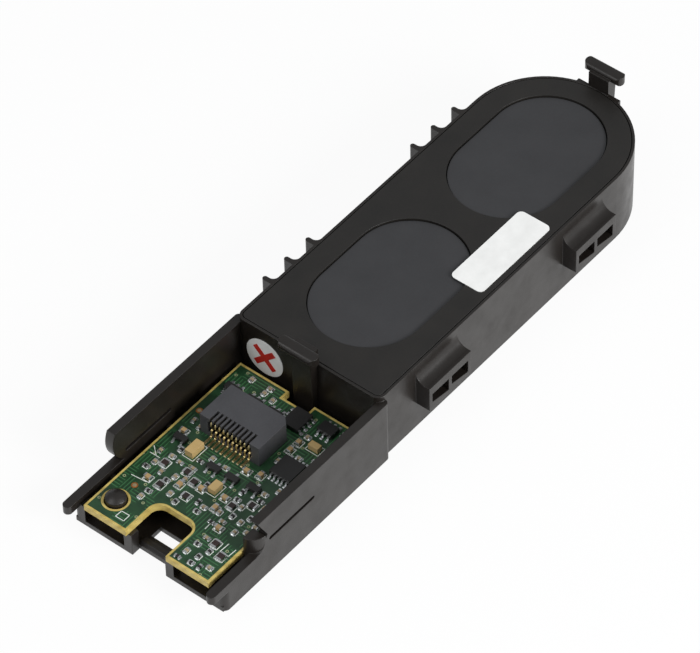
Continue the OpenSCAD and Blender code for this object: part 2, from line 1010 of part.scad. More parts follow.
module main_chip()
  color("#1d1d1f")
    on_board(MAIN_CHIP[0], MAIN_CHIP[1])
      chip_body(MAIN_CHIP[2], MAIN_CHIP[3], MAIN_CHIP[4]);

module main_chip_leads()
  color("#c9ccd0")
    on_board(MAIN_CHIP[0], MAIN_CHIP[1])
      for (a = [0, 180])
        rotate([0, 0, a])
          translate([-MAIN_CHIP[2] / 2, 0, 0])
            lead_row(5, 0.95, 0.4, MAIN_CHIP[4] / 2);

module small_chips()
  color("#1d1d1f")
    for (c = SMALL_CHIPS)
      on_board(c[0], c[1], c[2])
        chip_body(c[3], c[4], c[5]);

module small_chip_leads()
  color("#c9ccd0")
    for (c = SMALL_CHIPS)
      on_board(c[0], c[1], c[2])
        for (a = [0, 180])
          rotate([0, 0, a])
            translate([-c[3] / 2, 0, 0])
              lead_row(c[6], c[7], 0.45, c[5] / 2);

module transistors()
  color("#1f1d1c")
    for (t = TRANSISTORS)
      on_board(t[0], t[1], t[2])
        chip_body(1.4, 2.9, 1);

module transistor_leads()
  color("#c9ccd0")
    for (t = TRANSISTORS)
      on_board(t[0], t[1], t[2]) {
        translate([-0.7, 0, 0])
          lead_row(2, 1.9, 0.45, 0.5);
        rotate([0, 0, 180])
          translate([-0.7, 0, 0])
            lead_row(1, 1, 0.45, 0.5);
      }

module tantalum_capacitors()
  color("#c2a878")
    for (c = TANTALUMS)
      on_board(c[0], c[1])
        translate([-c[2] / 2, -c[3] / 2, 0])
          cube([c[2], c[3], c[4]]);

// Body of a chip part between its two solder ends.
module chip_part(size) {
  translate([size[3] - size[0] / 2, -size[1] / 2, 0])
    cube([size[0] - 2 * size[3], size[1], size[2]]);
}

module chip_ends(size) {
  for (a = [0, 180])
    rotate([0, 0, a])
      translate([-size[0] / 2, -size[1] / 2, 0])
        cube([size[3], size[1], size[2]]);
}

module chip_resistors()
  color("#3a2a26")
    for (p = RESISTORS)
      on_board(p[0], p[1], p[2])
        chip_part(RES_SIZE);

module chip_capacitors()
  color("#b89b72")
    for (p = CAPACITORS)
      on_board(p[0], p[1], p[2])
        chip_part(CAP_SIZE);

module solder_ends()
  color("#d5d8da") {
    for (p = RESISTORS)
      on_board(p[0], p[1], p[2])
        chip_ends(RES_SIZE);
    for (p = CAPACITORS)
      on_board(p[0], p[1], p[2])
        chip_ends(CAP_SIZE);
  }

lower_case();
lid();
pad_front();
pad_rear();
label();
sticker();
sticker_cross();
circuit_board();
test_pads();
socket_body();
socket_upper_contacts();
socket_lower_contacts();
main_chip();
main_chip_leads();
small_chips();
small_chip_leads();
transistors();
transistor_leads();
tantalum_capacitors();
chip_resistors();
chip_capacitors();
solder_ends();
cell_front_lower();
cell_front_upper();
cell_rear_lower();
cell_rear_upper();
front_link();
rear_link();
series_link();
positive_strip();
negative_strip();
insulating_sheet();
thermal_sensor();
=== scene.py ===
"""Looks of a battery module for a storage controller.

A dark moulded case holds two stacks of button cells under a lid with two
windows. The open tray in front carries a circuit board with a cable socket.
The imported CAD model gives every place; this script gives the finishes, the
thin layers on the board, the light, the floor and the camera.
"""
import logging
import math
import random
from dataclasses import dataclass, field
from enum import Enum

import bmesh
import bpy
from mathutils import Matrix, Vector


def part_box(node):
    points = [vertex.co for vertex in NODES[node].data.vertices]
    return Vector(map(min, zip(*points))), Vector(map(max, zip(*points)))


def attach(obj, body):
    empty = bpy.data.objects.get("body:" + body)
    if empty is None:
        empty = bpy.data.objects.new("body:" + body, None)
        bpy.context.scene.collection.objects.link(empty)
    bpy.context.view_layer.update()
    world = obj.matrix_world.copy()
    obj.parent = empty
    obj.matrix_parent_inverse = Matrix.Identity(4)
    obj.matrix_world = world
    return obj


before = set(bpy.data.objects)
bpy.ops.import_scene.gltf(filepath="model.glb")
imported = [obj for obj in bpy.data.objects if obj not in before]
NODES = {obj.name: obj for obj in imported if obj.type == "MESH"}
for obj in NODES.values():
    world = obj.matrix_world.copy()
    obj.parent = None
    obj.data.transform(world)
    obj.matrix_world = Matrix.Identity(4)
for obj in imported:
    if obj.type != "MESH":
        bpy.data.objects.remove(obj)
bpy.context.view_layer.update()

LOG = logging.getLogger("battery_module")
MM = 0.001
# Corners closer than this are one corner.
WELD = 0.001 * MM
SEED = 7


def srgb(code: str) -> tuple[float, float, float, float]:
    """Turns an sRGB hex value such as "#1a2b3c" into a linear colour.

    Args:
        code: The hex value with its leading hash.

    Returns:
        Red, green, blue and alpha as linear numbers.
    """
    out = []
    for i in (1, 3, 5):
        c = int(code[i:i + 2], 16) / 255
        out.append(c / 12.92 if c <= 0.04045 else ((c + 0.055) / 1.055) ** 2.4)
    return (out[0], out[1], out[2], 1.0)


class Along(Enum):
    """Directions in which the bands of a pattern follow one another."""

    LENGTH = "X"
    WIDTH = "Y"
    SLANT = "DIAGONAL"


class Recipe:
    """A node material while it is being put together."""

    def __init__(self, name: str) -> None:
        """Starts an empty material with an output and its coordinates."""
        self.material = bpy.data.materials.new(name)
        self.material.use_nodes = True
        self.tree = self.material.node_tree
        self.tree.nodes.clear()
        self.output = self.add("ShaderNodeOutputMaterial")
        self.place = self.add("ShaderNodeTexCoord").outputs["Object"]

    def add(self, kind: str, inputs: dict | None = None,
            **settings: object) -> bpy.types.Node:
        """Adds a node with its settings and links.

        Args:
            kind: The node's type name.
            inputs: Values or output sockets by input name or number.
            **settings: Properties of the node itself.

        Returns:
            The new node.
        """
        node = self.tree.nodes.new(kind)
        for key, value in settings.items():
            setattr(node, key, value)
        for key, value in (inputs or {}).items():
            socket = node.inputs[key]
            if isinstance(value, bpy.types.NodeSocket):
                self.tree.links.new(value, socket)
            else:
                socket.default_value = value
        return node

    def mottle(self, size_mm: float, detail: float, low: float = 0.0,
               high: float = 1.0, start: float = 0.3,
               end: float = 0.7) -> bpy.types.NodeSocket:
        """Makes a cloudy pattern and stretches its middle tones.

        Args:
            size_mm: How far across its patches are, in millimetres.
            detail: How many finer layers it has.
            low: What the pattern gives at start and below.
            high: What the pattern gives at end and above.
            start: The tone that becomes low.
            end: The tone that becomes high.

        Returns:
            The stretched pattern.
        """
        cloud = self.add("ShaderNodeTexNoise", {
            "Vector": self.place, "Scale": 1 / (size_mm * MM),
            "Detail": detail, "Roughness": 0.55}).outputs["Fac"]
        return self.add("ShaderNodeMapRange", {
            "Value": cloud, "From Min": start, "From Max": end,
            "To Min": low, "To Max": high}).outputs["Result"]

    def coats(self, ground: str,
              *coats: tuple[bpy.types.NodeSocket, str]
              ) -> bpy.types.NodeSocket:
        """Lays coats of colour over a ground.

        Args:
            ground: The hex value underneath.
            *coats: Where each coat is strong, and its hex value.

        Returns:
            The colour of all coats together.
        """
        colour = srgb(ground)
        for where, over in coats:
            colour = self.add("ShaderNodeMix", {
                0: where, 6: colour, 7: srgb(over)},
                data_type="RGBA").outputs[2]
        return colour

    def relief(self, height: bpy.types.NodeSocket, depth_mm: float,
               edge_mm: float = 0.0) -> bpy.types.NodeSocket:
        """Raises a pattern and, where asked, softens the edges.

        Args:
            height: The pattern that is raised.
            depth_mm: How far it is raised, in millimetres.
            edge_mm: Radius of the softened edges, in millimetres.

        Returns:
            The normal for the shader.
        """
        inputs = {"Height": height, "Strength": 1.0,
                  "Distance": depth_mm * MM}
        if edge_mm:
            inputs["Normal"] = self.add(
                "ShaderNodeBevel", {"Radius": edge_mm * MM},
                samples=6).outputs[0]
        return self.add("ShaderNodeBump", inputs).outputs["Normal"]

    def close(self, **inputs: object) -> bpy.types.Material:
        """Ends the material in its shader.

        Args:
            **inputs: The shader's inputs, with _ for each space.

        Returns:
            The finished material.
        """
        named = {key.replace("_", " "): value for key, value in inputs.items()}
        shader = self.add("ShaderNodeBsdfPrincipled", named)
        self.tree.links.new(shader.outputs[0], self.output.inputs["Surface"])
        return self.material


@dataclass(frozen=True)
class MouldedPlastic:
    """Glass-filled engineering plastic, injection moulded in an eroded tool.

    The tool leaves a fine even grain. It keeps the gloss soft and breaks up
    the highlights along the edges.
    """

    name: str
    colour: str
    worn: str
    roughness: float = 0.45
    grain_mm: float = 0.3
    depth_mm: float = 0.02
    edge_mm: float = 0.2

    def make(self) -> bpy.types.Material:
        """Builds the material."""
        r = Recipe(self.name)
        # Flow of the melt: soft patches of a slightly lighter tone.
        patches = r.mottle(9.0, 4.0, 0.0, 0.7)
        speckle = r.mottle(0.45, 2.0, 0.0, 0.35, 0.45, 0.75)
        # The eroded grain is finer in fact; it is drawn coarser to show.
        grain = r.mottle(self.grain_mm, 2.0, start=0.0, end=1.0)
        return r.close(
            Base_Color=r.coats(self.colour, (patches, self.worn),
                               (speckle, self.worn)),
            Roughness=r.mottle(4.0, 3.0, self.roughness - 0.06,
                               self.roughness + 0.08),
            IOR=1.5, Normal=r.relief(grain, self.depth_mm, self.edge_mm))


@dataclass(frozen=True)
class PlatedMetal:
    """Thin metal, stamped or dipped: tin, gold flash, nickel or copper.

    The bright skin lies slightly uneven, with a duller film in places.
    """

    name: str
    colour: str
    roughness: float = 0.3
    ripple_mm: float = 0.5
    film: str = "#6f6a62"

    def make(self) -> bpy.types.Material:
        """Builds the material."""
        r = Recipe(self.name)
        film = r.mottle(self.ripple_mm * 2, 2.0, 0.0, 0.35)
        ripple = r.mottle(self.ripple_mm, 1.0, start=0.0, end=1.0)
        return r.close(
            Base_Color=r.coats(self.colour, (film, self.film)),
            Roughness=r.mottle(self.ripple_mm, 2.0, self.roughness - 0.08,
                               self.roughness + 0.14),
            Metallic=1.0, Normal=r.relief(ripple, 0.03))


@dataclass(frozen=True)
class CoatedPaper:
    """Printed film or coated paper: even, with a faint tooth."""

    name: str
    colour: str
    tint: str
    roughness: float = 0.5

    def make(self) -> bpy.types.Material:
        """Builds the material."""
        r = Recipe(self.name)
        tooth = r.mottle(0.4, 2.0, start=0.0, end=1.0)
        return r.close(
            Base_Color=r.coats(self.colour, (r.mottle(3.0, 3.0), self.tint)),
            Roughness=self.roughness, Normal=r.relief(tooth, 0.005))


@dataclass(frozen=True)
class GlassLaminate:
    """Glass-cloth laminate with bare routed edges, cream and slightly woven."""

    name: str = "fr4_laminate"
    colour: str = "#c9b05c"
    shade: str = "#8a7430"
    bright: str = "#e2cf85"
    band_mm: float = 2.3675

    def make(self) -> bpy.types.Material:
        """Builds the material."""
        r = Recipe(self.name)
        # A thread is about 0.4 mm wide in fact; it is drawn coarser to show.
        weave = r.add("ShaderNodeTexWave", {
            "Vector": r.place, "Scale": math.tau / 10 / (self.band_mm * MM),
            "Distortion": 1.5}, bands_direction=Along.SLANT.value
            ).outputs["Fac"]
        dark = r.add("ShaderNodeMapRange", {
            "Value": weave, "To Min": 0.1, "To Max": 0.5}).outputs["Result"]
        return r.close(
            Base_Color=r.coats(self.colour, (dark, self.shade),
                               (r.mottle(2.0, 2.0, 0.0, 0.4), self.bright)),
            Roughness=0.55, IOR=1.55, Normal=r.relief(weave, 0.01))


@dataclass(frozen=True)
class SolderMask:
    """Green solder mask over copper.

    The tracks under it stand out a little and show lighter.
    """

    name: str = "solder_mask"
    colour: str = "#17351f"
    cloud: str = "#224729"
    track: str = "#37683f"
    ring: str = "#97a077"
    # Painted shade: the near-black middle of each via stands in for the shade
    # inside its drilled hole.
    hole_shade: str = "#10180f"
    block_mm: float = 3.4
    pitch_mm: float = 0.75
    via_mm: float = 4.6
    # From and to where a ring and the painted shade of its hole fade out, as
    # shares of via_mm.
    ring_edge: tuple[float, float] = (0.065, 0.08)
    hole_shade_edge: tuple[float, float] = (0.028, 0.04)

    def bundle(self, r: Recipe, along: Along) -> bpy.types.NodeSocket:
        """Draws straight tracks side by side.

        Args:
            r: The material.
            along: The direction in which they follow one another.

        Returns:
            A pattern that is 1 on a track.
        """
        wave = r.add("ShaderNodeTexWave", {
            "Vector": r.place,
            "Scale": math.tau / 20 / (self.pitch_mm * MM)},
            bands_direction=along.value).outputs["Fac"]
        return r.add("ShaderNodeMapRange", {
            "Value": wave, "From Min": 0.72, "From Max": 0.92}
            ).outputs["Result"]

    def tracks(self, r: Recipe) -> bpy.types.NodeSocket:
        """Draws bundles of tracks, each in a block of its own.

        Args:
            r: The material.

        Returns:
            A pattern that is 1 on a track.
        """
        block = r.add("ShaderNodeTexVoronoi", {
            "Vector": r.place, "Scale": 1 / (self.block_mm * MM),
            "Randomness": 0.8}, distance="CHEBYCHEV",
            voronoi_dimensions="2D").outputs["Color"]
        draw = r.add("ShaderNodeSeparateColor", {"Color": block}).outputs
        way = r.add("ShaderNodeMapRange", {
            "Value": draw["Red"], "From Min": 0.49, "From Max": 0.51}
            ).outputs["Result"]
        laid = r.add("ShaderNodeMapRange", {
            "Value": draw["Green"], "From Min": 0.40, "From Max": 0.42}
            ).outputs["Result"]
        both = r.add("ShaderNodeMix", {
            0: way, 2: self.bundle(r, Along.LENGTH),
            3: self.bundle(r, Along.WIDTH)}).outputs[0]
        return r.add("ShaderNodeMath", {0: both, 1: laid},
                     operation="MULTIPLY").outputs[0]

    def make(self) -> bpy.types.Material:
        """Builds the material."""
        r = Recipe(self.name)
        # Tracks are 0.2 mm wide. Vias are tinned rings 0.7 mm across, each with
        # painted shade in its hole.
        tracks = self.tracks(r)
        spot = r.add("ShaderNodeTexVoronoi", {
            "Vector": r.place, "Scale": 1 / (self.via_mm * MM),
            "Randomness": 1.0}, voronoi_dimensions="2D"
            ).outputs["Distance"]
        ring, hole_shade = (r.add("ShaderNodeMapRange", {
            "Value": spot, "From Min": start, "From Max": end,
            "To Min": 1.0, "To Max": 0.0}).outputs["Result"]
            for start, end in (self.ring_edge, self.hole_shade_edge))
        return r.close(
            Base_Color=r.coats(self.colour, (r.mottle(2.2, 3.0), self.cloud),
                               (tracks, self.track), (ring, self.ring),
                               (hole_shade, self.hole_shade)),
            Roughness=0.3, IOR=1.52, Normal=r.relief(tracks, 0.03))


class Piece:
    """A new piece of the model, built with bmesh and placed in its mesh."""

    def __init__(self, name: str) -> None:
        """Starts an empty mesh."""
        self.name = name
        self.bm = bmesh.new()

    def block(self, centre: Vector, size: tuple[float, float, float],
              turn: float = 0.0, bevel: float = 0.0) -> None:
        """Adds a block with bevelled edges.

        Args:
            centre: The middle of its base, in metres.
            size: Length, width and height in metres.
            turn: Turn about the upright axis in radians.
            bevel: Width of the bevel in metres.
        """
        made = bmesh.ops.create_cube(self.bm, size=1.0)["verts"]
        bmesh.ops.scale(self.bm, vec=size, verts=made)
        bmesh.ops.translate(self.bm, vec=(0, 0, size[2] / 2), verts=made)
        if bevel:
            edges = list({e for v in made for e in v.link_edges})
            cut = bmesh.ops.bevel(self.bm, geom=edges, offset=bevel, segments=2,
                                  profile=0.5, affect="EDGES", material=-1)
            made = list({v for f in cut["faces"] for v in f.verts}
                        | {v for v in made if v.is_valid})
        bmesh.ops.rotate(self.bm, cent=(0, 0, 0), verts=made,
                         matrix=Matrix.Rotation(turn, 3, "Z"))
        bmesh.ops.translate(self.bm, vec=centre, verts=made)

    def disc(self, centre: Vector, radius: float, height: float) -> None:
        """Adds a flat disc.

        Args:
            centre: The middle of its base, in metres.
            radius: Its radius in metres.
            height: Its height in metres.
        """
        rim = bmesh.ops.create_circle(self.bm, segments=32, radius=radius,
                                      cap_ends=True)["verts"]
        faces = list({f for v in rim for f in v.link_faces})
        bmesh.ops.recalc_face_normals(self.bm, faces=faces)
        top = self.raised(faces, height)
        bmesh.ops.translate(self.bm, vec=centre, verts=rim + top)

    def raised(self, faces: list[bmesh.types.BMFace],
               height: float) -> list[bmesh.types.BMVert]:
        """Gives flat faces a thickness upwards.

        Args:
            faces: The faces, which become the underside.
            height: The thickness in metres.

        Returns:
            The corners of the new top.
        """
        for face in faces:
            if face.normal.z > 0:
                face.normal_flip()
        up = bmesh.ops.extrude_face_region(self.bm, geom=faces,
                                           use_keep_orig=True)["geom"]
        top = [g for g in up if isinstance(g, bmesh.types.BMVert)]
        bmesh.ops.translate(self.bm, vec=(0, 0, height), verts=top)
        return top

    def finish(self, material: bpy.types.Material,
               slot: str) -> bpy.types.Object:
        """Turns the mesh into an object that rides on the part.

        Args:
            material: Its finish.
            slot: The record's material slot; not used.

        Returns:
            The new object.
        """
        bmesh.ops.recalc_face_normals(self.bm, faces=self.bm.faces)
        mesh = bpy.data.meshes.new(self.name)
        self.bm.to_mesh(mesh)
        self.bm.free()
        mesh.materials.append(material)
        for polygon in mesh.polygons:
            polygon.use_smooth = False
        piece = bpy.data.objects.new(self.name, mesh)
        bpy.context.scene.collection.objects.link(piece)
        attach(piece, "root")
        LOG.info("%s: %d faces", self.name, len(mesh.polygons))
        return piece


def dress(material: bpy.types.Material, *names: str) -> None:
    """Gives CAD nodes their finish.

    Args:
        material: The finish.
        *names: The nodes.
    """
    for name in names:
        node = NODES[name]
        if node.material_slots:
            for slot in node.material_slots:
                slot.material = material
        else:
            node.data.materials.append(material)
        LOG.info("%s: %s", name, material.name)


def on_board(share: tuple[float, float], lift: float = 0.0) -> Vector:
    """Finds a place on the top of the board.

    Args:
        share: The place as shares of the board's length and width.
        lift: How far above the board it is, in metres.

    Returns:
        The place in metres.
    """
    low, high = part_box("circuit_board")
    return Vector((low.x + share[0] * (high.x - low.x),
                   low.y + share[1] * (high.y - low.y), high.z + lift))


def feet(name: str, reach: float) -> list[tuple[Vector, Vector]]:
    """Finds where each loose shell of a node meets the board.

    Args:
        name: The CAD node.
        reach: How far above the board a corner still counts, in metres.

    Returns:
        The low and high corners of each shell's foot.
    """
    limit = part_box("circuit_board")[1].z + reach
    bm = bmesh.new()
    bm.from_mesh(NODES[name].data)
    bmesh.ops.remove_doubles(bm, verts=bm.verts, dist=WELD)
    bm.verts.ensure_lookup_table()
    seen: set[int] = set()
    found = []
    for start in bm.verts:
        if start.index in seen:
            continue
        seen.add(start.index)
        queue, shell = [start], []
        while queue:
            vert = queue.pop()
            shell.append(vert.co.copy())
            for edge in vert.link_edges:
                other = edge.other_vert(vert)
                if other.index not in seen:
                    seen.add(other.index)
                    queue.append(other)
        near = [corner for corner in shell if corner.z < limit]
        if near:
            found.append((Vector(map(min, zip(*near))),
                          Vector(map(max, zip(*near)))))
    bm.free()
    return found


@dataclass
class BatteryHousing:
    """The moulded case with its tray, the lid and the pads in its windows."""

    case: MouldedPlastic = MouldedPlastic(
        "black_nylon_case", "#171310", "#231f1c", 0.36)
    lid: MouldedPlastic = MouldedPlastic(
        "black_nylon_lid", "#171513", "#221f1c", 0.46)
    pad: MouldedPlastic = MouldedPlastic(
        "grey_insulating_pad", "#303032", "#38383a", 0.5, 0.4, 0.008, 0.15)

    def build(self) -> None:
        """Dresses the case, the lid and the pads."""
        dress(self.case.make(), "lower_case")
        dress(self.lid.make(), "lid")
        dress(self.pad.make(), "pad_front", "pad_rear")


@dataclass
class Labels:
    """The blank label on the lid and the round sticker on the front wall."""

    label: CoatedPaper = CoatedPaper("coated_label", "#f6f6f4", "#ececea")
    sticker: CoatedPaper = CoatedPaper("coated_sticker", "#f7f7f5", "#eeeeec")
    print_red: CoatedPaper = CoatedPaper("printed_red", "#cf2a22", "#b3231d")

    def build(self) -> None:
        """Dresses the label, the sticker and its mark."""
        dress(self.label.make(), "label")
        dress(self.sticker.make(), "sticker")
        dress(self.print_red.make(), "sticker_cross")


@dataclass
class CellStacks:
    """The four cells, their strips, the sheet under them and the sensor."""

    can: PlatedMetal = PlatedMetal("nickel_plated_can", "#c3c6c9", 0.28, 1.2)
    strip: PlatedMetal = PlatedMetal("nickel_strip", "#b9bbbb", 0.3, 0.8)
    sheet: CoatedPaper = CoatedPaper("insulating_paper", "#d9d3bd", "#cfc8b0")
    bead: MouldedPlastic = MouldedPlastic(
        "dipped_bead", "#2f4a36", "#3a5a42", 0.3)

    def build(self) -> None:
        """Dresses what lies inside the housing."""
        dress(self.can.make(), "cell_front_lower", "cell_front_upper",
              "cell_rear_lower", "cell_rear_upper")
        dress(self.strip.make(), "front_link", "rear_link", "series_link",
              "positive_strip", "negative_strip")
        dress(self.sheet.make(), "insulating_sheet")
        dress(self.bead.make(), "thermal_sensor")


@dataclass
class CableSocket:
    """The socket for the cable with its two rows of contacts."""

    body: MouldedPlastic = MouldedPlastic(
        "grey_lcp_socket", "#3d3d40", "#4a4a4d", 0.4, 0.3, 0.01, 0.12)
    upper: PlatedMetal = PlatedMetal("gold_flash_contact", "#d6c48e", 0.25)
    lower: PlatedMetal = PlatedMetal("gold_flash_tail", "#cdb67c", 0.3)

    def build(self) -> None:
        """Dresses the socket and its contacts."""
        dress(self.body.make(), "socket_body")
        dress(self.upper.make(), "socket_upper_contacts")
        dress(self.lower.make(), "socket_lower_contacts")


@dataclass(frozen=True)
class ChipSpot:
    """A free place on the board for a small chip part.

    half_x and half_y include the gap around the part. draw is the random
    number that chooses the kind of part.
    """

    x: float
    y: float
    half_x: float
    half_y: float
    turned: bool
    draw: float

    @property
    def turn(self) -> float:
        """The part's turn about the upright axis, in radians."""
        return math.pi / 2 if self.turned else 0.0

    def beside(self, along: float, across: float, z: float) -> Vector:
        """Finds a place from the part's middle, turned with the part."""
        step = (across, along) if self.turned else (along, across)
        return Vector((self.x + step[0], self.y + step[1], z))


@dataclass
class Legend:
    """White lines printed on the solder mask."""

    lift: float
    ink: CoatedPaper = CoatedPaper("legend_ink", "#e9ece6", "#d5d9d1")
    thickness: float = 0.02 * MM
    width: float = 0.16 * MM
    margin: float = 0.4 * MM
    foot_reach: float = 0.6 * MM
    # Two ends of each line, as shares of the board's length and width.
    strokes: tuple[tuple[float, float, float, float], ...] = (
        (0.246, 0.933, 0.253, 0.818),
        (0.424, 0.976, 0.386, 0.910),
        (0.386, 0.961, 0.387, 0.880),
        (0.209, 0.291, 0.249, 0.293),
        (0.071, 0.785, 0.073, 0.723),
        (0.073, 0.723, 0.036, 0.723),
        (0.036, 0.723, 0.035, 0.788),
        (0.035, 0.788, 0.071, 0.785),
        (0.118, 0.041, 0.202, 0.035),
        (0.145, 0.105, 0.209, 0.099),
    )
    piece: Piece = field(default_factory=lambda: Piece("legend_lines"))

    def line(self, middle: Vector, length: float, turn: float = 0.0) -> None:
        """Draws one line.

        Args:
            middle: The middle of the line, in metres.
            length: Its length in metres.
            turn: Its turn about the upright axis, in radians.
        """
        self.piece.block(middle, (length, self.width, self.thickness), turn)

    def outline(self, low: Vector, high: Vector) -> None:
        """Draws an outline around the foot of a part.

        Args:
            low: The foot's low corner.
            high: The foot's high corner.
        """
        middle = (low + high) / 2
        middle.z = on_board((0.0, 0.0), self.lift).z
        long = high.x - low.x + 2 * self.margin
        wide = high.y - low.y + 2 * self.margin
        for side in (-1, 1):
            self.line(middle + Vector((0, side * wide / 2, 0)), long)
            self.piece.block(middle + Vector((side * long / 2, 0, 0)),
                             (self.width, wide, self.thickness))

    def draw(self) -> None:
        """Draws the outlines of the larger parts and the single lines."""
        for name in ("chip_resistors", "chip_capacitors",
                     "tantalum_capacitors"):
            for low, high in feet(name, self.foot_reach):
                self.outline(low, high)
        for x0, y0, x1, y1 in self.strokes:
            start = on_board((x0, y0), self.lift)
            end = on_board((x1, y1), self.lift)
            run = end - start
            self.line((start + end) / 2, run.length,
                      math.atan2(run.y, run.x))


@dataclass
class SmallChips:
    """Small chip capacitors and resistors, set closely on the board."""

    pad_t: float
    pad_margin: float
    solder: bpy.types.Material
    capacitor: MouldedPlastic = MouldedPlastic(
        "small_fired_ceramic", "#8e7c60", "#b3a284", 0.45, 0.3, 0.005, 0.05)
    resistor: MouldedPlastic = MouldedPlastic(
        "small_glazed_resistor", "#1c1919", "#2f2a2a", 0.3, 0.3, 0.005, 0.05)
    size: tuple[float, float, float] = (1.25 * MM, 0.7 * MM, 0.42 * MM)
    gap: float = 0.3 * MM
    tries: int = 900
    most: int = 64
    # Where the board is densely laid: boxes of shares, low and high corner.
    dense: tuple[tuple[float, float, float, float], ...] = (
        (0.18, 0.05, 0.56, 0.80), (0.50, 0.03, 0.98, 0.30),
        (0.30, 0.72, 0.72, 0.93), (0.86, 0.40, 0.98, 0.92),
        (0.02, 0.06, 0.20, 0.30))
    # The body and its ends, as shares of the part's size.
    body_share: tuple[float, float, float] = (0.56, 0.96, 0.92)
    end_length: float = 0.3
    end_reach: float = 0.38
    pad_length: float = 0.42
    pad_reach: float = 0.38 * 1.15
    body_bevel: float = 0.04 * MM
    end_bevel: float = 0.05 * MM
    capacitors_below: float = 0.55
    # Parts drawn outside this span have a printed line on either side.
    bare_span: tuple[float, float] = (0.3, 0.8)
    line_gap: float = 0.2 * MM
    ray_height: float = 100 * MM

    def on_mask(self, x: float, y: float) -> bool:
        """Tells whether nothing but the mask lies at a place."""
        found = bpy.context.scene.ray_cast(
            bpy.context.evaluated_depsgraph_get(),
            Vector((x, y, self.ray_height)), Vector((0, 0, -1)))
        return bool(found[0]) and found[4].name == "solder_mask_sheet"

    def is_dense(self, share: tuple[float, float]) -> bool:
        """Tells whether a place lies where the board is densely laid."""
        return any(x0 <= share[0] <= x1 and y0 <= share[1] <= y1
                   for x0, y0, x1, y1 in self.dense)

    def is_free(self, spot: ChipSpot, taken: list[ChipSpot]) -> bool:
        """Tells whether a part at a spot would touch nothing.

        Args:
            spot: The spot.
            taken: The spots that are already used.

        Returns:
            Whether the spot is free.
        """
        if any(abs(spot.x - other.x) < spot.half_x + other.half_x
               and abs(spot.y - other.y) < spot.half_y + other.half_y
               for other in taken):
            return False
        return all(self.on_mask(spot.x + i * spot.half_x,
                                spot.y + j * spot.half_y)
                   for i in (-1, -0.5, 0, 0.5, 1) for j in (-1, 0, 1))

    def find_spots(self) -> list[ChipSpot]:
        """Draws random places and keeps the dense and free ones."""
        bpy.context.view_layer.update()
        half_long = self.size[0] / 2 + self.gap
        half_wide = self.size[1] / 2 + self.gap
        taken: list[ChipSpot] = []
        for _ in range(self.tries):
            share = (random.random(), random.random())
            turned = random.random() < 0.5
            draw = random.random()
            if len(taken) == self.most or not self.is_dense(share):
                continue
            place = on_board(share)
            halves = (half_wide, half_long) if turned else \
                (half_long, half_wide)
            spot = ChipSpot(place.x, place.y, *halves, turned, draw)
            if self.is_free(spot, taken):
                taken.append(spot)
        return taken

    def build_one(self, spot: ChipSpot, body: Piece, ends: Piece,
                  legend: Legend) -> None:
        """Builds a part with its solder ends, pads and printed lines.

        Args:
            spot: Where it sits.
            body: The piece that its body goes into.
            ends: The piece that its ends and pads go into.
            legend: The printed lines.
        """
        long, wide, tall = self.size
        top = on_board((0.0, 0.0)).z
        body.block(spot.beside(0.0, 0.0, top + self.pad_t),
                   tuple(a * b for a, b in zip(self.size, self.body_share)),
                   spot.turn, self.body_bevel)
        for side in (-1, 1):
            ends.block(spot.beside(side * long * self.end_reach, 0.0, top),
                       (long * self.end_length, wide, tall + self.pad_t),
                       spot.turn, self.end_bevel)
            ends.block(spot.beside(side * long * self.pad_reach, 0.0, top),
                       (long * self.pad_length, wide + self.pad_margin,
                        self.pad_t), spot.turn)
        if self.bare_span[0] <= spot.draw <= self.bare_span[1]:
            return
        for side in (-1, 1):
            legend.line(spot.beside(0.0, side * (wide / 2 + self.line_gap),
                                    top + legend.lift), long, spot.turn)

    def build(self, legend: Legend) -> None:
        """Builds all small parts and finishes the printed lines with them.

        Args:
            legend: The printed lines.
        """
        capacitors = Piece("small_capacitor_bodies")
        resistors = Piece("small_resistor_bodies")
        ends = Piece("small_chip_ends")
        spots = self.find_spots()
        for spot in spots:
            body = capacitors if spot.draw < self.capacitors_below \
                else resistors
            self.build_one(spot, body, ends, legend)
        LOG.info("small chip parts: %d", len(spots))
        capacitors.finish(self.capacitor.make(), "capacitor_ceramic")
        resistors.finish(self.resistor.make(), "resistor_ceramic")
        ends.finish(self.solder, "tin")
        legend.piece.finish(legend.ink.make(), "label_paper")


